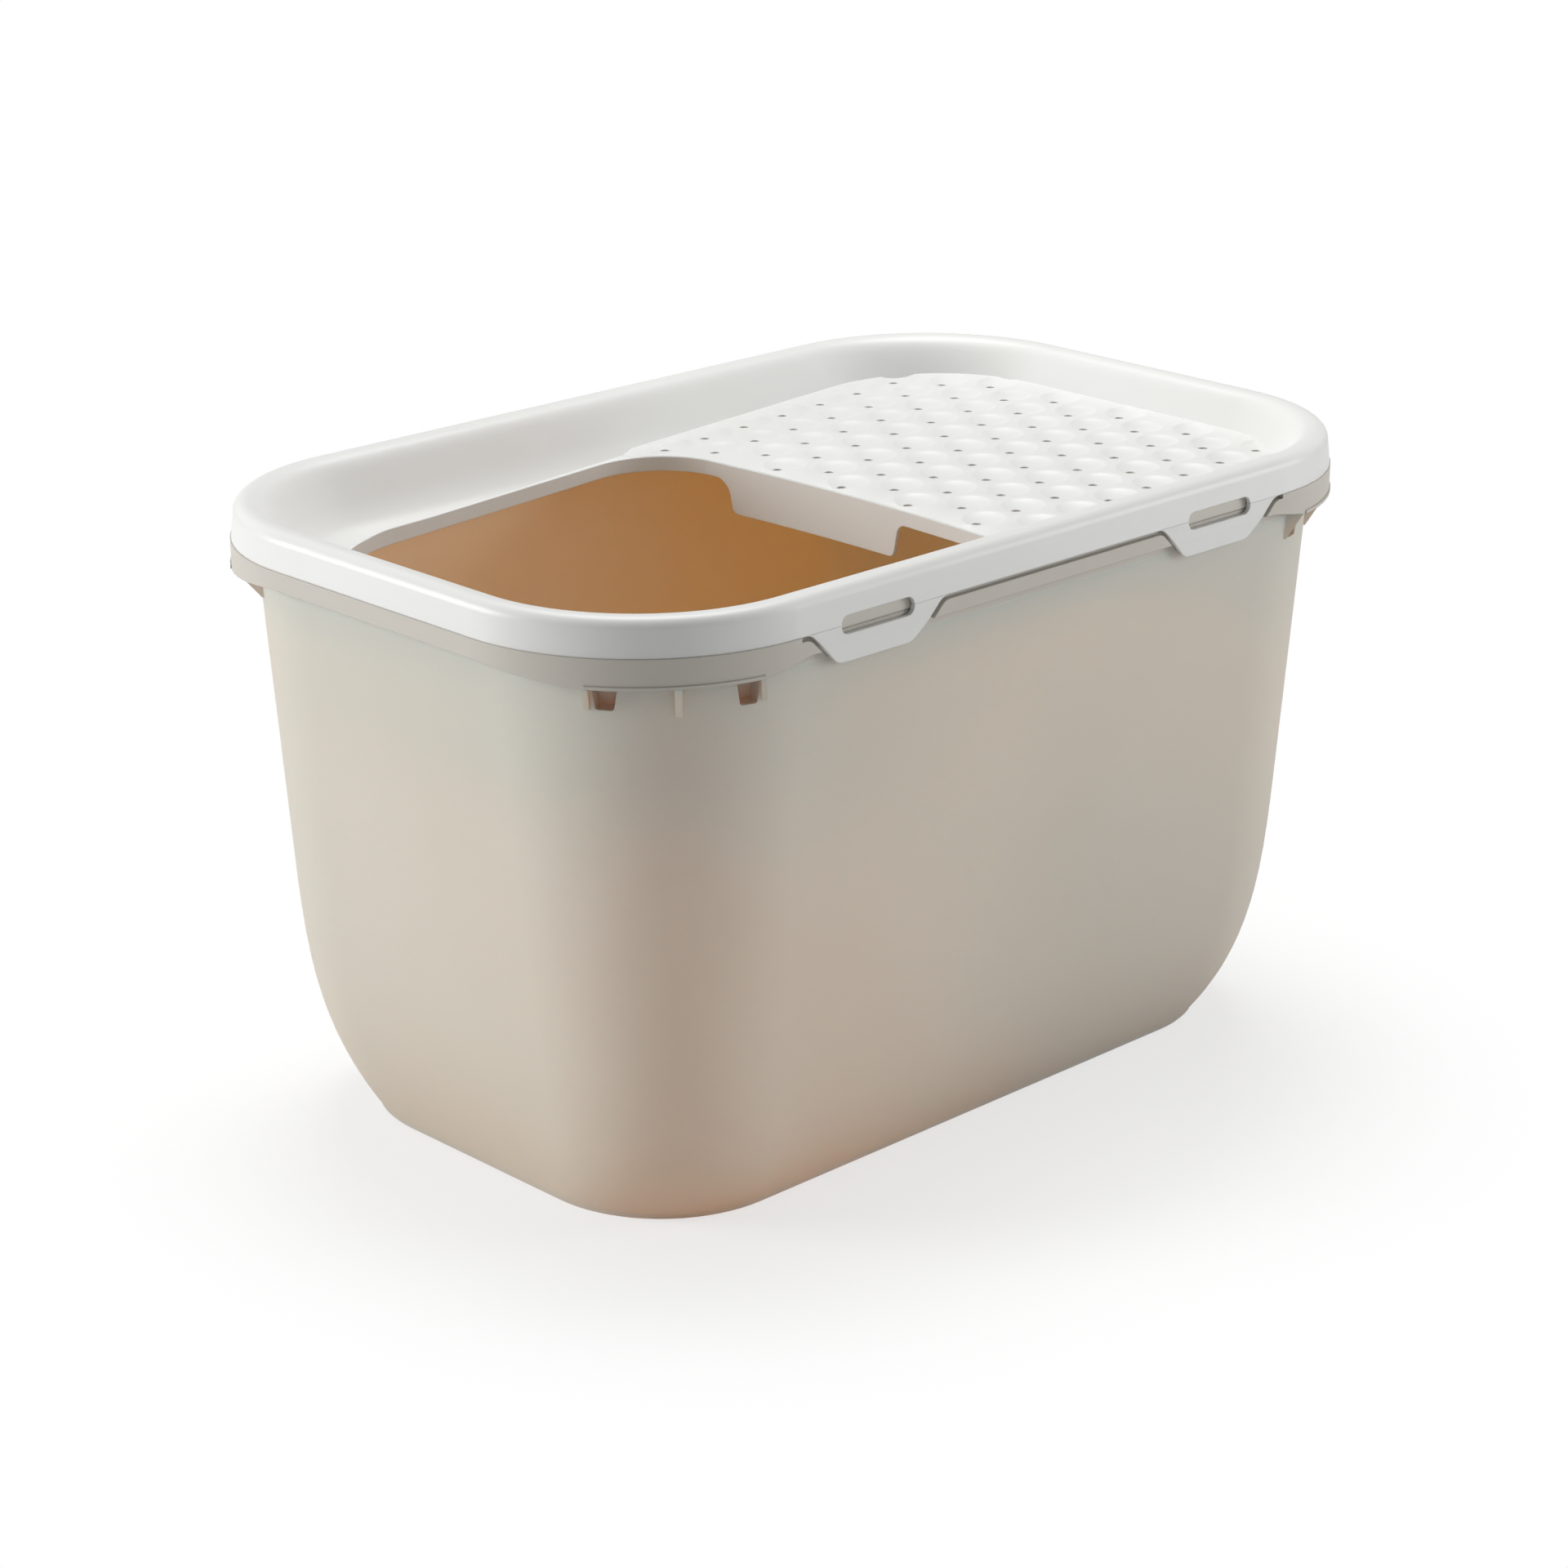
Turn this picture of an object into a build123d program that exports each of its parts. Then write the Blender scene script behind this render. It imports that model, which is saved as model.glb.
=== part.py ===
from build123d import *

import os
from math import cos, radians, sin, tan

# Top entry litter box: a deep open tub, and a lift-off lid with an entry hole, a perforated deck and
# four slotted snap tabs.
# Frame: origin under the middle of the tub's floor, X along the box, Y across it, +Z up.
# The entry hole is in the -X half of the lid. All sizes are in millimetres.

# ---- overall ----
LENGTH = 585.0
WIDTH = 372.0
HEIGHT = 340.0
RIM_RADIUS = 110.0          # plan radius of the rim's corners
WALL = 2.6                  # moulded wall
SHEET = 2.5                 # lid's wall
FIT = 0.6                   # play between the lid's skirt and the tub's upstand

# ---- tub ----
LEDGE_Z = 321.0             # flange that the lid's skirt stands on
FLANGE_T = 2.5
BAND_Z = 311.0              # lower edge of the down-turned band
LIP_Z = 305.6               # and where it drops to a grip lip round each corner
LIP_START = (174.0, 80.0)   # along X and along Y: where the drop starts
LIP_FULL = (202.0, 134.0)   # and where it is complete
UPSTAND_Z = 333.0
UPSTAND_T = 2.4
UPSTAND_LEAN = 0.121        # inward per millimetre of height, as the skirt's inner face leans
END_INSET = 15.5            # end wall behind the rim's edge, at the band
SIDE_INSET = 6.1
END_DRAFT = 4.88            # degrees
SIDE_DRAFT = 3.9            # degrees
END_BOW = 20.0              # how far the foot draws in past the draft
SIDE_BOW = 26.0
END_BOW_POWER = 3.0
SIDE_BOW_POWER = 4.0
BOW_Z = 150.0               # height where the draw-in starts
TOP_CORNER = 103.0          # wall's corner radius at the band
FOOT_CORNER = 74.0          # and at the floor
FOOT_EDGE = 3.0             # rounding under the wall, and the floor's thickness
BOW_LEVELS = (FOOT_EDGE, 27.0, 52.0, 77.0, 102.0, 126.0, BOW_Z)

# ---- grip under each corner of the rim: swings in degrees, from the end wall towards the side wall ----
WINDOW_SWINGS = (33.5, 73.0)    # round the wall's corner
WINDOW_TOP_HALF = 6.7
WINDOW_FOOT_HALF = 4.5
WINDOW_Z = (290.8, 304.0)
WINDOW_FILLET = 1.6
GUSSETS = (                 # swing round the rim's corner, thickness, height of the foot
    (33.3, 2.8, 290.5),
    (56.6, 3.6, 288.0),
    (79.6, 2.8, 291.5),
)
GUSSET_TURN = 45.0          # the gussets stand parallel, along the corner's diagonal
BEAD_OUT = 0.6              # bead along the lip's lower edge
BEAD_H = 1.8

# ---- snap tabs and what they meet ----
TAB_X = 128.0               # tab centres, each side of the middle
TAB_TOP_HALF = 45.5
TAB_FOOT_HALF = 25.5
TAB_FOOT_Z = 301.5
TAB_SPAN = 51.0             # half of the length in which root and fillets lie
TAB_ROOT_FILLET = 10.0
TAB_FOOT_FILLET = 9.0
TAB_FACE_INSET = 0.5
TAB_TUCK = 1.6              # how far the tab's face leans in at its foot
SLOT_LENGTH = 50.0
SLOT_Z = (316.0, 325.4)
SLOT_RADIUS = 4.4
GROOVE = 2.3                # between the lid's lower edge, tabs included, and the tub's band
GROOVE_HALF = 180.0         # it runs along the middle of each long side
RECESS_INSET = 3.9          # how far it cuts in from the rim's edge
WEB_T = 2.0                 # web round each tab's recess
WEB_INSET = 7.4             # webs and shelf reach this far in, into the wall
LUG_HALF = 24.0
LUG_GAP = 0.5               # play between the lug and the tab's back
LUG_Z = (314.0, 318.0)

# ---- lid ----
SKIRT_INSET = 0.5
CREST_INSET = 2.5
CREST_ROUND = 6.0
# inner slope, as (height, distance in from the rim's edge), crest first
SLOPE = (
    (340.0, 9.0),
    (338.7, 15.0),
    (336.0, 18.3),
    (331.0, 21.8),
    (324.0, 25.8),
    (317.0, 30.0),
    (311.0, 35.0),
    (306.0, 41.5),
    (302.0, 50.0),
    (299.0, 62.0),
)
SLOPE_END_FALL = 0.2        # its fall per millimetre inward at the lower end
SLOPE_SHIFT = (1.9, 1.6)    # underside of the slope: outward and down, which leaves about one SHEET
DECK_Z = 315.0              # deck's top face where X is DECK_X
DECK_X = 150.0
DECK_TILT = 2.06            # degrees, falling towards the entry hole

# ---- entry hole ----
HOLE_END_X = -242.0
HOLE_END_HALF = 138.0       # half of its width at the round end
HOLE_HALF = 147.0           # and beside the deck
HOLE_END_RADIUS = 80.0
HOLE_EDGE_X = 28.0          # deck-side edge near the corners
HOLE_EDGE_BOW = 9.0         # and how much further it bows towards the deck in the middle
HOLE_CORNER = 45.0
COLLAR_T = 2.2
COLLAR_DEPTH = 8.0
APRON_Y = (-39.5, 90.5)     # the collar's deeper part, below the deck's edge
APRON_ROOT_Z = 302.9
APRON_FOOT_Z = 283.8
APRON_END_TAPER = 4.0
APRON_ROOT_FILLETS = (6.0, 12.0)
APRON_FOOT_FILLET = 4.0

# ---- perforations: rows along X, every second row moved by half a pitch ----
PERF_DIAMETER = 5.0
PERF_PITCH_X = 30.9
PERF_PITCH_Y = 25.2
PERF_ROWS = 12
PERF_COLUMNS = 7
PERF_FIRST_X = 45.3

HALF_LENGTH = LENGTH / 2
HALF_WIDTH = WIDTH / 2


def plan(inset_x, inset_y, radius, z):
    """Rounded rectangle at height z, drawn in from the rim's edge."""
    return Plane.XY.offset(z) * RectangleRounded(LENGTH - 2 * inset_x, WIDTH - 2 * inset_y, radius)


def rim_plan(inset, z):
    """The rim's own outline, drawn in evenly."""
    return plan(inset, inset, RIM_RADIUS - inset, z)


def rim_ring(outer, thick, low, high, lean=0.0):
    """A band of even thickness that follows the rim and may lean inward as it rises."""
    shift = lean * (high - low)
    outside = loft([rim_plan(outer, low), rim_plan(outer + shift, high)], ruled=True)
    inside = loft([rim_plan(outer + thick, low), rim_plan(outer + thick + shift, high)], ruled=True)
    return outside - inside


def block(x_range, y_range, z_range):
    """A box given by its limits."""
    size = [high - low for low, high in (x_range, y_range, z_range)]
    middle = [(high + low) / 2 for low, high in (x_range, y_range, z_range)]
    return Pos(*middle) * Box(*size)


def direction(swing):
    """Level unit vector, turned from +X towards +Y."""
    return Vector(cos(radians(swing)), sin(radians(swing)), 0)


def at_four_places(shape):
    """The shape and its mirror images in the two upright middle planes."""
    pair = [shape, mirror(shape, Plane.YZ)]
    return pair + [mirror(one, Plane.XZ) for one in pair]


# ---------------------------------------------------------------- tub

def wall_insets(z):
    """Where the tub's outer face stands at height z, for the end walls and the side walls."""
    bow = max(0.0, 1 - z / BOW_Z)
    end = END_INSET + tan(radians(END_DRAFT)) * (BAND_Z - z) + END_BOW * bow ** END_BOW_POWER
    side = SIDE_INSET + tan(radians(SIDE_DRAFT)) * (BAND_Z - z) + SIDE_BOW * bow ** SIDE_BOW_POWER
    return end, side


def wall_corner(z):
    return FOOT_CORNER + (TOP_CORNER - FOOT_CORNER) * z / BAND_Z


def wall_section(z, inward=0.0):
    end, side = wall_insets(z)
    return plan(end + inward, side + inward, wall_corner(z) - inward, z)


def wall_loft(inward=0.0):
    """Solid inside the wall's outer face, or further in: straight draft above, drawn in below."""
    upper = loft([wall_section(BOW_Z, inward), wall_section(LEDGE_Z, inward)], ruled=True)
    lower = loft([wall_section(z, inward) for z in BOW_LEVELS])
    return upper + lower


def tub_bowl():
    """Floor and walls: one form inside the other, on a rounded foot."""
    end, side = wall_insets(FOOT_EDGE)
    foot_sections = []
    for step in range(4):
        angle = radians(30 * step)
        rise = FOOT_EDGE * (1 - cos(angle))
        inward = FOOT_EDGE * (1 - sin(angle))
        corner = wall_corner(FOOT_EDGE) - inward
        foot_sections.append(plan(end + inward, side + inward, corner, rise))
    foot = loft(foot_sections, ruled=True)
    return wall_loft() + foot - wall_loft(WALL)


def lip_relief(axis):
    """Outline of what the band lacks between two corner lips, along X (0) or along Y (1)."""
    start = LIP_START[axis]
    full = LIP_FULL[axis]
    border = Polyline(
        (-full, LIP_Z - 1),
        (-full, LIP_Z),
        (-start, BAND_Z),
        (start, BAND_Z),
        (full, LIP_Z),
        (full, LIP_Z - 1),
        close=True,
    )
    return make_face(border)


def tub_band():
    """Down-turned band. Its lower edge drops to a beaded grip lip round each corner."""
    band = rim_ring(0, SHEET, LIP_Z, LEDGE_Z)
    band -= extrude(Plane.XZ * lip_relief(0), WIDTH, both=True)
    band -= extrude(Plane.YZ * lip_relief(1), LENGTH, both=True)
    bead = rim_ring(-BEAD_OUT, SHEET / 2 + BEAD_OUT, LIP_Z, LIP_Z + BEAD_H)
    rays = [direction(swing) * 2 * RIM_RADIUS for swing in (GUSSETS[0][0], GUSSETS[-1][0])]
    sector = make_face(Polyline((0, 0), (rays[0].X, rays[0].Y), (rays[1].X, rays[1].Y), close=True))
    corner = Pos(HALF_LENGTH - RIM_RADIUS, HALF_WIDTH - RIM_RADIUS, LIP_Z) * extrude(sector, BEAD_H)
    for piece in at_four_places(bead & corner):
        band += piece
    return band


def tab_prism(grow, near, far):
    """A tab's outline, larger all round, as a prism between two distances in from the rim's edge."""
    place = Plane((TAB_X, HALF_WIDTH - far, 0), x_dir=(-1, 0, 0), z_dir=(0, 1, 0))
    return extrude(place * tab_outline(grow), far - near)


def side_backing():
    """On the +Y side: shelf below the groove, and the solid round each tab's recess."""
    top = LEDGE_Z - GROOVE
    y_range = (HALF_WIDTH - WEB_INSET, HALF_WIDTH)
    reach = GROOVE_HALF + WEB_T
    shelf = block((-reach, reach), y_range, (top - FLANGE_T, LEDGE_Z))
    layer = block((-reach, reach), y_range, (BAND_Z, top))
    web = tab_prism(GROOVE + WEB_T, 0, WEB_INSET) & layer
    return shelf + web + mirror(web, Plane.YZ)


def side_recess():
    """On the +Y side: room for the lid's lower edge and its two tabs, one groove's width larger."""
    y_range = (HALF_WIDTH - RECESS_INSET, HALF_WIDTH + 1)
    strip = block((-GROOVE_HALF, GROOVE_HALF), y_range, (LEDGE_Z - GROOVE, LEDGE_Z + 1))
    tab = tab_prism(GROOVE, -1, RECESS_INSET)
    return strip + tab + mirror(tab, Plane.YZ)


def catch_lug():
    """Ridge behind the tab on the +X, +Y place."""
    nose = HALF_WIDTH - TAB_FACE_INSET - SHEET - LUG_GAP
    y_range = (HALF_WIDTH - WEB_INSET, nose)
    return block((TAB_X - LUG_HALF, TAB_X + LUG_HALF), y_range, LUG_Z)


def tub_rim():
    """Flange, band and upstand, with the groove and the tabs' recesses along each long side."""
    end, side = wall_insets(LEDGE_Z)
    flange_low = LEDGE_Z - FLANGE_T
    inner = plan(end + 1, side + 1, wall_corner(LEDGE_Z) - 1, flange_low)
    rim = extrude(rim_plan(0, flange_low), FLANGE_T) - extrude(inner, FLANGE_T)
    rim += tub_band()
    backing = side_backing()
    recess = side_recess()
    rim += backing
    rim += mirror(backing, Plane.XZ)
    rim -= recess
    rim -= mirror(recess, Plane.XZ)
    foot_inset = SKIRT_INSET + SHEET + FIT - UPSTAND_LEAN * FLANGE_T
    return rim + rim_ring(foot_inset, UPSTAND_T, flange_low, UPSTAND_Z, UPSTAND_LEAN)


def wall_arc(z):
    """Centre and radius of the wall's corner at height z."""
    end, side = wall_insets(z)
    radius = wall_corner(z)
    return Vector(HALF_LENGTH - end - radius, HALF_WIDTH - side - radius, z), radius


def corner_window(swing):
    low, high = WINDOW_Z
    centre, radius = wall_arc((low + high) / 2)
    outward = direction(swing)
    half_height = (high - low) / 2
    border = Polyline(
        (half_height, -WINDOW_TOP_HALF),
        (half_height, WINDOW_TOP_HALF),
        (-half_height, WINDOW_FOOT_HALF),
        (-half_height, -WINDOW_FOOT_HALF),
        close=True,
    )
    face = make_face(border)
    face = fillet(face.vertices(), WINDOW_FILLET)
    place = Plane(centre + outward * radius, x_dir=(0, 0, 1), z_dir=outward)
    return extrude(place * face, 6, both=True)


def corner_gusset(swing, thick, foot_z):
    """Upright web from the grip lip in to the wall."""
    inward = -direction(GUSSET_TURN)
    middle = Vector(HALF_LENGTH - RIM_RADIUS, HALF_WIDTH - RIM_RADIUS, 0)
    tip = middle + direction(swing) * (RIM_RADIUS - SHEET / 2)
    top_z = LEDGE_Z - 1
    depths = []
    for z in (foot_z, top_z):
        centre, radius = wall_arc(z)
        apart = Vector(centre.X - tip.X, centre.Y - tip.Y, 0)
        along = apart.dot(inward)
        depths.append(along - (along ** 2 - apart.length ** 2 + radius ** 2) ** 0.5)
    place = Plane(tip, x_dir=inward, z_dir=inward.cross(Vector(0, 0, 1)))
    outline = Polyline(
        (0, LIP_Z),
        (depths[0] - 0.6, foot_z),
        (depths[0] + 1, foot_z),
        (depths[1] + 1, top_z),
        (0, top_z),
        close=True,
    )
    return extrude(place * make_face(outline), thick / 2, both=True)


def build_tub():
    tub = tub_bowl()
    for swing in WINDOW_SWINGS:
        for window in at_four_places(corner_window(swing)):
            tub -= window
    tub += tub_rim()
    for lug in at_four_places(catch_lug()):
        tub += lug
    for sizes in GUSSETS:
        for gusset in at_four_places(corner_gusset(*sizes)):
            tub += gusset
    return tub


# ---------------------------------------------------------------- lid

def above_deck(drop=0.0):
    """Everything above the deck's tilted plane, or above a plane that lies lower by drop."""
    rise = sin(radians(DECK_TILT))
    run = cos(radians(DECK_TILT))
    place = Plane((DECK_X, 0, DECK_Z), x_dir=(run, 0, rise), z_dir=(-rise, 0, run))
    return extrude(place.offset(-drop) * Rectangle(3 * LENGTH, 3 * WIDTH), 200)


def basin(outward, down, top):
    """Room inside the crest: the slope's profile swept round the rim, and a prism in its middle."""
    path = rim_plan(0, 0).wire()
    start = path @ 0
    along = path % 0
    inward = Vector(0, 0, 1).cross(along)
    if inward.dot(start) > 0:
        inward = -inward
    place = Plane(start, x_dir=inward, z_dir=inward.cross(Vector(0, 0, 1)))
    points = [(inset - outward, z - down) for z, inset in SLOPE]
    curve = Spline(*points, tangents=[(1, 0), (1, -SLOPE_END_FALL)])
    border = Polyline(points[-1], (points[-1][0], top), (points[0][0], top), points[0])
    ring = sweep(place * make_face([curve, border]), path=path)
    inner, low = points[-1]
    return ring + extrude(rim_plan(inner - 0.5, low), top - low)


def crest_block():
    """Outer form of skirt and crest: leaning faces with a rounded shoulder."""
    form = loft([rim_plan(SKIRT_INSET, LEDGE_Z), rim_plan(CREST_INSET, HEIGHT)], ruled=True)
    shoulder = form.edges().group_by(Axis.Z)[-1]
    return fillet(shoulder, CREST_ROUND)


def crest_hollow():
    """Space under the crest, one sheet inside the outer form."""
    low = rim_plan(SKIRT_INSET + SHEET, LEDGE_Z)
    high = rim_plan(CREST_INSET + SHEET, HEIGHT - SHEET)
    form = loft([low, high], ruled=True)
    shoulder = form.edges().group_by(Axis.Z)[-1]
    return fillet(shoulder, CREST_ROUND - SHEET)


def hole_outline(outward=0.0):
    """Entry hole in plan: a round end, sides that spread a little and a bowed deck-side edge."""
    end = HOLE_END_X - outward
    end_half = HOLE_END_HALF + outward
    half = HOLE_HALF + outward
    edge = HOLE_EDGE_X + outward
    border = Polyline((edge, half), (end, end_half), (end, -end_half), (edge, -half))
    bow = ThreePointArc((edge, -half), (edge + HOLE_EDGE_BOW, 0), (edge, half))
    face = make_face([border, bow])
    corners = face.vertices().sort_by(Axis.X)
    face = fillet(corners[:2], HOLE_END_RADIUS + outward)
    corners = [v for v in face.vertices() if v.X > HOLE_EDGE_X - 1 and abs(v.Y) > half - 1]
    return fillet(corners, HOLE_CORNER + outward)


def hole_prism(outward, low, high):
    return extrude(Plane.XY.offset(low) * hole_outline(outward), high - low)


def apron_outline():
    """The apron seen along X, hung from a strip as wide as the lid, with rounded corners."""
    near, far = APRON_Y
    border = Polyline(
        (-HALF_WIDTH, HEIGHT),
        (-HALF_WIDTH, APRON_ROOT_Z),
        (near, APRON_ROOT_Z),
        (near + APRON_END_TAPER, APRON_FOOT_Z),
        (far - APRON_END_TAPER, APRON_FOOT_Z),
        (far, APRON_ROOT_Z),
        (HALF_WIDTH, APRON_ROOT_Z),
        (HALF_WIDTH, HEIGHT),
        close=True,
    )
    face = make_face(border)
    for y, radius in zip(APRON_Y, APRON_ROOT_FILLETS):
        corner = face.vertices().sort_by_distance((y, APRON_ROOT_Z, 0))[0]
        face = fillet(corner, radius)
    feet = [v for v in face.vertices() if abs(v.Y - APRON_FOOT_Z) < 0.1]
    return fillet(feet, APRON_FOOT_FILLET)


def collar_and_apron():
    """Down-turned collar all round the hole, and its deeper apron below the deck's edge."""
    low = DECK_Z - 50
    ring = hole_prism(COLLAR_T, low, HEIGHT) - hole_prism(0, low, HEIGHT)
    collar = ring & above_deck(COLLAR_DEPTH)
    apron = ring & extrude(Plane.YZ * apron_outline(), HALF_LENGTH / 2)
    return collar + apron


def perforations():
    """Centres of the deck's holes."""
    centres = []
    first_row = -(PERF_ROWS - 1) / 2
    for row in range(PERF_ROWS):
        y = (first_row + row) * PERF_PITCH_Y
        shift = PERF_PITCH_X / 2 if row % 2 else 0.0
        columns = range(PERF_COLUMNS)
        if row == PERF_ROWS - 1:
            columns = range(-1, PERF_COLUMNS - 1)
        for column in columns:
            x = PERF_FIRST_X + shift + column * PERF_PITCH_X
            centres.append((x, y))
    return centres


def slot_prism():
    """A tab's slot, rounded, right through skirt and tab."""
    low, high = SLOT_Z
    place = Plane((TAB_X, HALF_WIDTH - 6, (low + high) / 2), x_dir=(1, 0, 0), z_dir=(0, 1, 0))
    return extrude(place * RectangleRounded(SLOT_LENGTH, high - low, SLOT_RADIUS), 12)


def build_lid():
    room = basin(0, 0, HEIGHT + 2) & above_deck()
    under = basin(*SLOPE_SHIFT, HEIGHT - 1) & above_deck(SHEET)
    shell = crest_block() - crest_hollow() + under
    shell += collar_and_apron()
    shell -= room
    shell -= hole_prism(0, DECK_Z - 60, HEIGHT + 1)
    for slot in at_four_places(slot_prism()):
        shell -= slot
    drill = Pos(0, 0, DECK_Z - 15) * Cylinder(PERF_DIAMETER / 2, 40)
    holes = [Pos(x, y, 0) * drill for x, y in perforations()]
    return shell - holes


# ---------------------------------------------------------------- tabs

def tab_outline(grow=0.0):
    """A tab seen from the front: S-shaped sides down to a flat foot. It can be larger all round."""
    root = LEDGE_Z - grow
    low = TAB_FOOT_Z - grow
    top_half = TAB_TOP_HALF + 0.41 * grow
    foot_half = TAB_FOOT_HALF + 0.41 * grow
    border = Polyline(
        (-TAB_SPAN, LEDGE_Z + 1),
        (-TAB_SPAN, root),
        (-top_half, root),
        (-foot_half, low),
        (foot_half, low),
        (top_half, root),
        (TAB_SPAN, root),
        (TAB_SPAN, LEDGE_Z + 1),
        close=True,
    )
    face = make_face(border)
    roots = [v for v in face.vertices() if abs(v.Y - root) < 0.1 and abs(v.X) < TAB_SPAN - 0.1]
    face = fillet(roots, TAB_ROOT_FILLET - grow)
    feet = [v for v in face.vertices() if abs(v.Y - low) < 0.1]
    return fillet(feet, TAB_FOOT_FILLET + grow)


def build_tab():
    """The tab on the +X, +Y place, hung from the skirt's lower edge."""
    outer = HALF_WIDTH - TAB_FACE_INSET
    inner = outer - SHEET
    start = TAB_X - TAB_SPAN
    plate = Polyline(
        (start, inner, LEDGE_Z),
        (start, inner, TAB_FOOT_Z),
        (start, outer - TAB_TUCK, TAB_FOOT_Z),
        (start, outer, (LEDGE_Z + TAB_FOOT_Z) / 2),
        (start, outer, LEDGE_Z),
        close=True,
    )
    body = extrude(make_face(plate), 2 * TAB_SPAN, dir=(1, 0, 0))
    return (body & tab_prism(0, -1, RECESS_INSET)) - slot_prism()


def main():
    os.makedirs("parts", exist_ok=True)
    tab = build_tab()
    nodes = {
        "tub": build_tub(),
        "lid": build_lid(),
        "tab_back_right": tab,
        "tab_back_left": mirror(tab, Plane.YZ),
        "tab_front_right": mirror(tab, Plane.XZ),
        "tab_front_left": mirror(mirror(tab, Plane.YZ), Plane.XZ),
    }
    for name, shape in nodes.items():
        export_step(shape, f"parts/{name}.step")


main()
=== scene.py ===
import math

import bmesh
import bpy
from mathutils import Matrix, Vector
from mathutils.geometry import delaunay_2d_cdt


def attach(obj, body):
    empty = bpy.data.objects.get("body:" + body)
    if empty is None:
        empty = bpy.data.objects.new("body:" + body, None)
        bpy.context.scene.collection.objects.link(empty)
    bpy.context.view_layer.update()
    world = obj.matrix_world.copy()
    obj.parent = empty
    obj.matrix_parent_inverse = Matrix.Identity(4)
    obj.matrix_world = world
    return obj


# Top entry litter box. The CAD nodes stand as they are: this script gives them their moulded plastic,
# lays the dished skin of the deck round its holes, closes the pockets behind the windows of the corner
# grips, and sets the floor, the light and the camera. Metres, +Z up, the entry hole in the -X half.

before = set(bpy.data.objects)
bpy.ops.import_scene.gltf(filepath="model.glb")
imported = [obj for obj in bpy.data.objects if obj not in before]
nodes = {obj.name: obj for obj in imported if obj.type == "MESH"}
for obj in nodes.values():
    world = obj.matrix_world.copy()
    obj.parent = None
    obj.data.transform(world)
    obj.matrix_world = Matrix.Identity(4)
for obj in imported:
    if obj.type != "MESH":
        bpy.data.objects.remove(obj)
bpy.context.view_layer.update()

MM = 0.001
TAB_NODES = ("tab_front_left", "tab_front_right", "tab_back_left", "tab_back_right")

# ---- camera ----
CAMERA_AZIMUTH = math.radians(-44.25)
CAMERA_ELEVATION = math.radians(19.98)
CAMERA_DISTANCE = 2.10525
CAMERA_TARGET = Vector((-0.01089, 0.0, 0.15645))
CAMERA_LENS = 88.11
CAMERA_SENSOR = 36.0

# ---- plastics: linear colours; drifts as middle, swing and scale ----
TUB_COLOUR = (0.740, 0.900, 0.875, 1)
TUB_COLOUR_WARM = (0.735, 0.880, 0.845, 1)
TUB_GLOW = (1.0, 0.56, 0.14, 1)         # light that has come through the tub's wall
TUB_THROUGH = (0.42, 0.04, 6.0)         # share of the light that a face of the wall lets through
TUB_RIM_COLOUR = (0.53, 0.50, 0.445, 1)  # the rim's folds let no light through
TUB_RIM_Z = (0.3046, 0.3054)            # heights between which the wall turns into the rim
TUB_ROUGHNESS = (0.46, 0.10, 9.0)
TUB_GRAIN = (1400.0, 0.00004, 0.0007)   # scale, depth, radius of softened edges
LID_COLOUR = (0.760, 0.763, 0.745, 1)
LID_COLOUR_WARM = (0.742, 0.742, 0.720, 1)
LID_ROUGHNESS = (0.38, 0.10, 11.0)
LID_GRAIN = (1800.0, 0.00003, 0.0009)
PATCHES = (0.35, 0.65)                  # noise levels between which a colour turns into its warm one

# ---- surroundings ----
FLOOR_HALF = 20.0
FLOOR_BOUNCE = (0.75, 0.75, 0.75, 1)    # what the floor gives back to the object
FLOOR_SEEN = (0.97, 0.97, 0.97, 1)
FLOOR_FADE = (0.25, 0.46)               # distances between which the seen floor turns white
FLOOR_WHITE = 0.64                      # white share of the seen floor under the object
SOFT_LIGHT = 0.28
SOFTBOXES = (                           # name, place, aim, size, power
    ("softbox_left", (-2.4, 1.9, 0.9), (0, 0, 0.15), 1.3, 65),
    ("softbox_right", (2.2, -1.9, 0.75), (0, 0, 0.15), 1.4, 35),
    ("softbox_top", (0.5, 0.5, 2.5), (0, 0, 0.3), 1.5, 45),
)

# ---- deck: top face, tilt, and the lattice of its holes ----
DECK_Z = 315.0 * MM
DECK_X = 150.0 * MM
DECK_TILT = math.radians(2.06)
HOLE_PITCH_X = 30.9 * MM
HOLE_PITCH_Y = 25.2 * MM
HOLE_ROWS = 12
HOLE_COLUMNS = 7
HOLE_FIRST_X = 45.3 * MM
HOLE_RADIUS = 2.54 * MM                 # a hair wider than the drilled hole
HOLE_FLARE = 4.5 * MM                   # soft edge round it

# ---- deck's skin: a shallow dish beside each hole ----
DISH_SHIFT = (6.9 * MM, 0.65 * MM)      # from a hole's centre to its dish's
DISH_RADIUS = 12.0 * MM
DISH_DEPTH = 1.9 * MM
DISH_POWER = 2.8
DISH_RINGS = ((12.0, 36), (12.8, 36), (11.1, 32), (9.6, 28), (7.4, 22), (4.9, 14), (2.4, 7))
SKIN_SINK = 0.4 * MM                    # how deep its underside lies in the deck
SKIN_LEAST = 0.03 * MM                  # how far it stands above the deck where it runs out
SKIN_RUN_OUT = 5.0 * MM                 # from its full height down to that, at the entry hole
SKIN_TUCK = 2.4 * MM                    # how far its edge reaches into the slope round the deck
SKIN_GAP = 0.9 * MM                     # from its edge to the entry hole
SKIN_START_X = 8.0 * MM
SIDE_STEPS = 20
CORNER_STEPS = 30
HOLE_CORNER_STEPS = 14
BOW_STEPS = 60
DRILLED_STEPS = 20                      # round each of the deck's holes
FLARE_RINGS = 3

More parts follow.
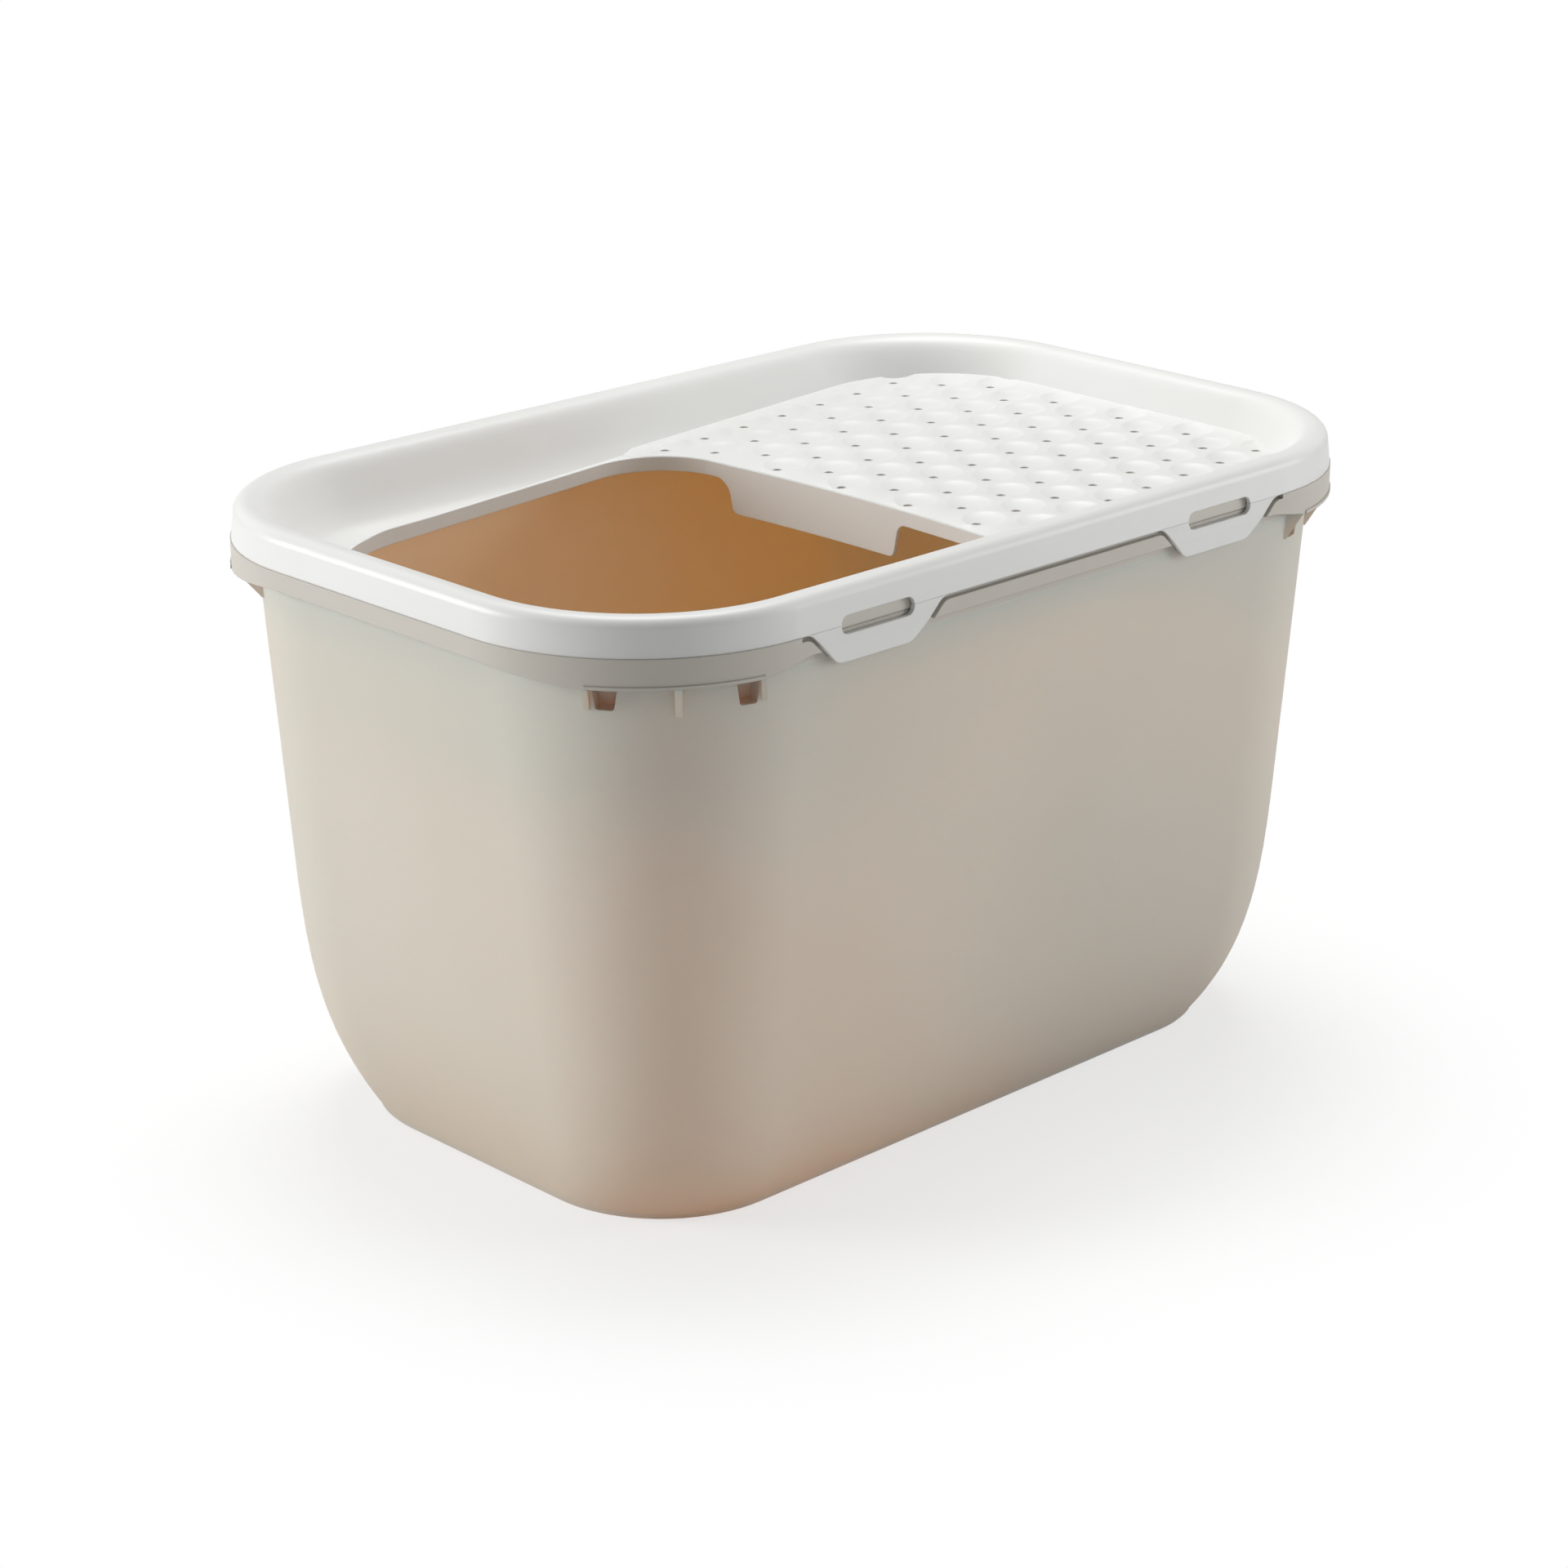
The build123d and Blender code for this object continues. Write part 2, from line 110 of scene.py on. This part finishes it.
# ---- rim and entry hole in plan ----
HALF_LENGTH = 292.5 * MM
HALF_WIDTH = 186.0 * MM
RIM_RADIUS = 110.0 * MM
SLOPE_FOOT = ((324.0, 25.8), (317.0, 30.0), (311.0, 35.0), (306.0, 41.5))   # height, distance in
BOW_CENTRE_X = -1168.0 * MM             # deck-side edge of the entry hole
BOW_RADIUS = 1205.0 * MM
BOW_END_Y = 104.6 * MM
CORNER_CENTRE = (-12.4 * MM, 100.65 * MM)
CORNER_RADIUS = 45.0 * MM

# ---- windows of the corner grips, in the tub's wall ----
WALL_CORNER = (174.11 * MM, 77.24 * MM)  # axis of the wall's corner, at the windows' height
WALL_RADIUS = 101.73 * MM
WINDOW_Z = 297.4 * MM
WINDOW_SWINGS = (33.5, 73.0)            # degrees round the corner, from the end wall
WINDOW_TOP_HALF = 6.7                   # millimetres
WINDOW_FOOT_HALF = 4.5
WINDOW_HALF_HEIGHT = 6.6
POCKET_LOOPS = ((10.4, 1.2), (1.4, 1.6), (1.4, 0.3), (9.0, -0.3))   # depth, growth past the window


# ---------------------------------------------------------------- node helpers

class Shader:
    """A material's node tree, with short calls for the nodes that the plastics use."""

    def __init__(self, name):
        self.material = bpy.data.materials.new(name)
        self.material.use_nodes = True
        self.tree = self.material.node_tree
        self.tree.nodes.clear()

    def node(self, kind, **values):
        made = self.tree.nodes.new(kind)
        for key, value in values.items():
            setattr(made, key, value)
        return made

    def link(self, source, target):
        self.tree.links.new(source, target)

    def feed(self, target, value):
        """Links a socket, or writes a plain value."""
        if isinstance(value, bpy.types.NodeSocket):
            self.link(value, target)
        else:
            target.default_value = value

    def noise(self, scale, detail=2.0, roughness=0.5):
        """Noise on the object's own coordinates."""
        place = self.node("ShaderNodeTexCoord")
        made = self.node("ShaderNodeTexNoise")
        self.link(place.outputs["Object"], made.inputs["Vector"])
        made.inputs["Scale"].default_value = scale
        made.inputs["Detail"].default_value = detail
        made.inputs["Roughness"].default_value = roughness
        return made.outputs["Fac"]

    def height(self):
        """Height on the object's own coordinates."""
        place = self.node("ShaderNodeTexCoord")
        split = self.node("ShaderNodeSeparateXYZ")
        self.link(place.outputs["Object"], split.inputs[0])
        return split.outputs["Z"]

    def math(self, operation, first, second=0.0):
        made = self.node("ShaderNodeMath", operation=operation)
        self.feed(made.inputs[0], first)
        self.feed(made.inputs[1], second)
        return made.outputs[0]

    def ramp(self, value, low, high):
        """0 below low, 1 above high, smooth between."""
        made = self.node("ShaderNodeMapRange", interpolation_type="SMOOTHSTEP")
        self.feed(made.inputs["Value"], value)
        made.inputs["From Min"].default_value = low
        made.inputs["From Max"].default_value = high
        return made.outputs["Result"]

    def mix(self, factor, first, second):
        made = self.node("ShaderNodeMix", data_type="RGBA")
        self.feed(made.inputs["Factor"], factor)
        self.feed(made.inputs["A"], first)
        self.feed(made.inputs["B"], second)
        return made.outputs["Result"]

    def blend(self, factor, first, second):
        """Two closures in one."""
        made = self.node("ShaderNodeMixShader")
        self.feed(made.inputs[0], factor)
        self.link(first, made.inputs[1])
        self.link(second, made.inputs[2])
        return made.outputs[0]

    def drift(self, base, swing, scale):
        """A value that drifts a little over the surface, as on a moulding."""
        offset = self.math("SUBTRACT", self.noise(scale), 0.5)
        return self.math("ADD", self.math("MULTIPLY", offset, swing), base)

    def grain(self, scale, depth, edge_radius):
        """Normal with softened edges and a fine moulded grain."""
        edge = self.node("ShaderNodeBevel", samples=4)
        edge.inputs["Radius"].default_value = edge_radius
        bump = self.node("ShaderNodeBump")
        bump.inputs["Strength"].default_value = 1.0
        bump.inputs["Distance"].default_value = depth
        self.link(self.noise(scale, 3.0, 0.6), bump.inputs["Height"])
        self.link(edge.outputs["Normal"], bump.inputs["Normal"])
        return bump.outputs["Normal"]

    def plastic(self, colour, roughness, normal):
        made = self.node("ShaderNodeBsdfPrincipled")
        self.feed(made.inputs["Base Color"], colour)
        self.feed(made.inputs["Roughness"], roughness)
        self.link(normal, made.inputs["Normal"])
        return made.outputs["BSDF"]

    def translucent(self, colour):
        made = self.node("ShaderNodeBsdfTranslucent")
        made.inputs["Color"].default_value = colour
        return made.outputs[0]

    def finish(self, surface):
        out = self.node("ShaderNodeOutputMaterial")
        self.link(surface, out.inputs["Surface"])
        return self.material


# ---------------------------------------------------------------- materials

def tub_material():
    """Matt, thin-walled plastic that lets warm light through into the tub."""
    shader = Shader("tub_plastic")
    rim = shader.ramp(shader.height(), *TUB_RIM_Z)
    wall = shader.math("SUBTRACT", 1.0, rim)
    colour = shader.mix(shader.ramp(shader.noise(5.0), *PATCHES), TUB_COLOUR, TUB_COLOUR_WARM)
    colour = shader.mix(rim, colour, TUB_RIM_COLOUR)
    face = shader.plastic(colour, shader.drift(*TUB_ROUGHNESS), shader.grain(*TUB_GRAIN))
    through = shader.math("MULTIPLY", shader.drift(*TUB_THROUGH), wall)
    return shader.finish(shader.blend(through, face, shader.translucent(TUB_GLOW)))


def lid_material():
    """Satin white plastic."""
    shader = Shader("lid_plastic")
    colour = shader.mix(shader.ramp(shader.noise(6.0), *PATCHES), LID_COLOUR, LID_COLOUR_WARM)
    face = shader.plastic(colour, shader.drift(*LID_ROUGHNESS), shader.grain(*LID_GRAIN))
    return shader.finish(face)


def give(piece, material):
    piece.data.materials.clear()
    piece.data.materials.append(material)


def make_piece(name, shape):
    """A mesh object from built faces, with its normals outward and its sharp edges kept."""
    bmesh.ops.recalc_face_normals(shape, faces=shape.faces)
    mesh = bpy.data.meshes.new(name)
    shape.to_mesh(mesh)
    shape.free()
    mesh.shade_smooth()
    mesh.set_sharp_from_angle(angle=math.radians(40))
    piece = bpy.data.objects.new(name, mesh)
    bpy.context.scene.collection.objects.link(piece)
    return piece


# ---------------------------------------------------------------- deck's skin

def deck_height(x):
    return DECK_Z + math.tan(DECK_TILT) * (x - DECK_X)


def ease(value):
    """0 below 0, 1 above 1, smooth between."""
    value = min(max(value, 0.0), 1.0)
    return value * value * (3 - 2 * value)


def hole_centres():
    """The deck's holes, as part of a staggered lattice."""
    centres = []
    for row in range(HOLE_ROWS):
        y = (row - (HOLE_ROWS - 1) / 2) * HOLE_PITCH_Y
        shift = HOLE_PITCH_X / 2 if row % 2 else 0.0
        start = -1 if row == HOLE_ROWS - 1 else 0
        for column in range(start, start + HOLE_COLUMNS):
            centres.append((HOLE_FIRST_X + shift + column * HOLE_PITCH_X, y))
    return centres


def ring(centre, radius, count):
    return [(centre[0] + radius * math.cos(2 * math.pi * step / count),
             centre[1] + radius * math.sin(2 * math.pi * step / count)) for step in range(count)]


def arc(centre, radius, first, last, count):
    """Points and outward directions along an arc, both ends included."""
    stations = []
    for step in range(count + 1):
        angle = math.radians(first + (last - first) * step / count)
        out = Vector((math.cos(angle), math.sin(angle)))
        stations.append((Vector(centre) + radius * out, out))
    return stations


def slope_inset(z):
    """How far in from the rim's edge the slope round the deck has come down to height z."""
    for (high, near), (low, far) in zip(SLOPE_FOOT, SLOPE_FOOT[1:]):
        if z * 1000 >= low:
            break
    return (near + (far - near) * (high - z * 1000) / (high - low)) * MM


def outer_edge():
    """The skin's edge where it tucks into the slope, from the -Y side round the end to the +Y side."""
    corner_x = HALF_LENGTH - RIM_RADIUS
    corner_y = HALF_WIDTH - RIM_RADIUS
    straight = [SKIN_START_X + (corner_x - SKIN_START_X) * step / SIDE_STEPS for step in range(SIDE_STEPS)]
    stations = [(Vector((x, -HALF_WIDTH)), Vector((0, -1))) for x in straight]
    stations += arc((corner_x, -corner_y), RIM_RADIUS, -90, 0, CORNER_STEPS)
    stations += arc((corner_x, corner_y), RIM_RADIUS, 0, 90, CORNER_STEPS)
    stations += [(Vector((x, HALF_WIDTH)), Vector((0, 1))) for x in reversed(straight)]
    edge = []
    for point, out in stations:
        inset = SLOPE_FOOT[1][1] * MM
        for _ in range(5):              # the deck's tilt moves the foot of the slope, so it closes in
            inset = slope_inset(deck_height(point.x - inset * out.x))
        edge.append(tuple(point - (inset - SKIN_TUCK) * out))
    return edge


def inner_edge():
    """The skin's edge along the entry hole, from the +Y side to the -Y side."""
    reach = CORNER_RADIUS + SKIN_GAP
    start = math.degrees(math.acos((SKIN_START_X - CORNER_CENTRE[0]) / reach))
    stop = math.degrees(math.asin(BOW_END_Y / BOW_RADIUS))
    corner = [tuple(point) for point, _ in arc(CORNER_CENTRE, reach, start, stop, HOLE_CORNER_STEPS)]
    bow = arc((BOW_CENTRE_X, 0), BOW_RADIUS + SKIN_GAP, stop, -stop, BOW_STEPS)
    middle = [tuple(point) for point, _ in bow[1:-1]]
    return corner + middle + [(x, -y) for x, y in reversed(corner)]


def hole_distance(x, y):
    """Distance from the entry hole's edge, on the deck's side of it."""
    if abs(y) < BOW_END_Y:
        return math.hypot(x - BOW_CENTRE_X, y) - BOW_RADIUS
    return math.hypot(x - CORNER_CENTRE[0], abs(y) - CORNER_CENTRE[1]) - CORNER_RADIUS


def skin_rise(x, y, dishes, holes):
    """How far the skin stands above the deck's plane."""
    apart = min(math.hypot(x - dish[0], y - dish[1]) for dish in dishes)
    rise = DISH_DEPTH * min(apart / DISH_RADIUS, 1.0) ** DISH_POWER
    drilled = min(math.hypot(x - hole[0], y - hole[1]) for hole in holes)
    rise *= ease((drilled - HOLE_RADIUS) / HOLE_FLARE)
    rise *= ease(hole_distance(x, y) / SKIN_RUN_OUT) * ease((x - SKIN_START_X) / SKIN_RUN_OUT)
    return max(rise, SKIN_LEAST)


def inside(border, x, y):
    """Whether a point lies inside a closed outline."""
    found = False
    for (ax, ay), (bx, by) in zip(border, border[1:] + border[:1]):
        if (ay > y) != (by > y) and x < ax + (bx - ax) * (y - ay) / (by - ay):
            found = not found
    return found


def skin_plan():
    """Triangles of the skin in plan, with the deck's holes left open."""
    holes = hole_centres()
    dishes = [(x + DISH_SHIFT[0], y + DISH_SHIFT[1]) for x, y in holes]
    points = []
    edges = []

    def add_loop(loop):
        first = len(points)
        points.extend(loop)
        edges.extend((first + step, first + (step + 1) % len(loop)) for step in range(len(loop)))

    border = outer_edge() + inner_edge()
    add_loop(border)
    for hole in holes:
        add_loop(ring(hole, HOLE_RADIUS, DRILLED_STEPS))
        for step in range(1, FLARE_RINGS + 1):
            points.extend(ring(hole, HOLE_RADIUS + HOLE_FLARE * step / FLARE_RINGS, DRILLED_STEPS))
    for dish, hole in zip(dishes, holes):
        for radius, count in DISH_RINGS:
            for point in ring(dish, radius * MM, count):
                if math.dist(point, hole) > HOLE_RADIUS + HOLE_FLARE * 1.15:
                    points.append(point)
    flat, _, triangles, *_ = delaunay_2d_cdt([Vector(point) for point in points], edges, [], 0, 1e-7)
    kept = []
    for triangle in triangles:
        x, y = (sum(flat[corner][axis] for corner in triangle) / 3 for axis in (0, 1))
        in_hole = any(math.dist((x, y), hole) < HOLE_RADIUS * 0.98 for hole in holes)
        if not in_hole and inside(border, x, y):
            kept.append(triangle)
    return flat, kept, dishes, holes


def build_skin():
    """The deck's upper face with a dish beside each hole. Its edges run down into the solid deck."""
    flat, triangles, dishes, holes = skin_plan()
    shape = bmesh.new()
    used = sorted({corner for triangle in triangles for corner in triangle})
    tops = {}
    for corner in used:
        x, y = flat[corner]
        tops[corner] = shape.verts.new((x, y, deck_height(x) + skin_rise(x, y, dishes, holes)))
    for triangle in triangles:
        shape.faces.new([tops[corner] for corner in triangle])
    rim = [edge for edge in shape.edges if edge.is_boundary]
    walls = bmesh.ops.extrude_edge_only(shape, edges=rim)["geom"]
    for vert in walls:
        if isinstance(vert, bmesh.types.BMVert):
            vert.co.z = deck_height(vert.co.x) - SKIN_SINK
    return make_piece("deck_skin", shape)


# ---------------------------------------------------------------- pockets behind the grips' windows

def add_pocket(shape, swing, along, across):
    """One closed cup. Its mouth lies in the thickness of the tub's wall, round the window."""
    angle = math.radians(swing)
    out = Vector((along * math.cos(angle), across * math.sin(angle), 0))
    side = Vector((-out.y, out.x, 0))
    window = Vector((along * WALL_CORNER[0], across * WALL_CORNER[1], WINDOW_Z)) + out * WALL_RADIUS
    loops = []
    for depth, grow in POCKET_LOOPS:
        middle = window - out * depth * MM
        top = (WINDOW_TOP_HALF + grow, WINDOW_HALF_HEIGHT + grow)
        foot = (WINDOW_FOOT_HALF + grow, -WINDOW_HALF_HEIGHT - grow)
        corners = (top, (-top[0], top[1]), (-foot[0], foot[1]), foot)
        loops.append([shape.verts.new(middle + side * level * MM + Vector((0, 0, rise * MM)))
                      for level, rise in corners])
    for first, second in zip(loops, loops[1:]):
        for step in range(4):
            after = (step + 1) % 4
            shape.faces.new((first[step], first[after], second[after], second[step]))
    shape.faces.new(loops[0])
    shape.faces.new(loops[-1])


def build_pockets():
    """The tub's wall behind the two windows at each corner, which keeps them dark."""
    shape = bmesh.new()
    for swing in WINDOW_SWINGS:
        for along in (1, -1):
            for across in (1, -1):
                add_pocket(shape, swing, along, across)
    return make_piece("grip_pockets", shape)


# ---------------------------------------------------------------- surroundings

def build_floor():
    """A pale floor. Seen directly it runs out to white, and it keeps the object's shadow."""
    mesh = bpy.data.meshes.new("floor")
    signs = ((-1, -1), (1, -1), (1, 1), (-1, 1))
    mesh.from_pydata([(x * FLOOR_HALF, y * FLOOR_HALF, 0) for x, y in signs], [], [(0, 1, 2, 3)])
    floor = bpy.data.objects.new("floor", mesh)
    bpy.context.scene.collection.objects.link(floor)
    shader = Shader("floor_paper")
    rays = shader.node("ShaderNodeLightPath")
    seen = rays.outputs["Is Camera Ray"]
    place = shader.node("ShaderNodeTexCoord")
    reach = shader.node("ShaderNodeVectorMath", operation="LENGTH")
    shader.link(place.outputs["Object"], reach.inputs[0])
    far = shader.ramp(reach.outputs["Value"], *FLOOR_FADE)
    paper = shader.node("ShaderNodeBsdfDiffuse")
    shader.link(shader.mix(seen, FLOOR_BOUNCE, FLOOR_SEEN), paper.inputs["Color"])
    white = shader.node("ShaderNodeEmission")
    white.inputs["Strength"].default_value = 1.0
    share = shader.math("ADD", shader.math("MULTIPLY", far, 1.0 - FLOOR_WHITE), FLOOR_WHITE)
    share = shader.math("MULTIPLY", share, seen)
    give(floor, shader.finish(shader.blend(share, paper.outputs[0], white.outputs[0])))


def build_world():
    """Soft light from everywhere, and white where the camera looks past the floor."""
    world = bpy.data.worlds.new("studio")
    bpy.context.scene.world = world
    world.use_nodes = True
    tree = world.node_tree
    tree.nodes.clear()
    soft = tree.nodes.new("ShaderNodeBackground")
    soft.inputs["Color"].default_value = (1, 1, 1, 1)
    soft.inputs["Strength"].default_value = SOFT_LIGHT
    white = tree.nodes.new("ShaderNodeBackground")
    white.inputs["Color"].default_value = (1, 1, 1, 1)
    white.inputs["Strength"].default_value = 1.0
    rays = tree.nodes.new("ShaderNodeLightPath")
    blend = tree.nodes.new("ShaderNodeMixShader")
    out = tree.nodes.new("ShaderNodeOutputWorld")
    tree.links.new(rays.outputs["Is Camera Ray"], blend.inputs[0])
    tree.links.new(soft.outputs[0], blend.inputs[1])
    tree.links.new(white.outputs[0], blend.inputs[2])
    tree.links.new(blend.outputs[0], out.inputs["Surface"])


def add_softbox(name, place, aim, size, power):
    lamp = bpy.data.lights.new(name, "AREA")
    lamp.shape = "SQUARE"
    lamp.size = size
    lamp.energy = power
    holder = bpy.data.objects.new(name, lamp)
    holder.location = place
    holder.rotation_euler = (Vector(aim) - Vector(place)).to_track_quat("-Z", "Y").to_euler()
    bpy.context.scene.collection.objects.link(holder)


def build_camera():
    flat = math.cos(CAMERA_ELEVATION)
    back = Vector((math.sin(CAMERA_AZIMUTH) * flat, -math.cos(CAMERA_AZIMUTH) * flat,
                   math.sin(CAMERA_ELEVATION)))
    data = bpy.data.cameras.new("camera")
    data.lens = CAMERA_LENS
    data.sensor_width = CAMERA_SENSOR
    data.clip_end = 100.0
    camera = bpy.data.objects.new("camera", data)
    camera.location = CAMERA_TARGET + back * CAMERA_DISTANCE
    camera.rotation_euler = (-back).to_track_quat("-Z", "Y").to_euler()
    bpy.context.scene.collection.objects.link(camera)
    bpy.context.scene.camera = camera


# ---------------------------------------------------------------- build

bpy.context.scene.view_settings.view_transform = "Standard"
build_camera()
build_world()
build_floor()
for softbox in SOFTBOXES:
    add_softbox(*softbox)

beige_plastic = tub_material()
white_plastic = lid_material()
give(nodes["tub"], beige_plastic)
for name in ("lid",) + TAB_NODES:
    give(nodes[name], white_plastic)

skin = build_skin()
give(skin, white_plastic)
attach(skin, "lid")

pockets = build_pockets()
give(pockets, beige_plastic)
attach(pockets, "tub")
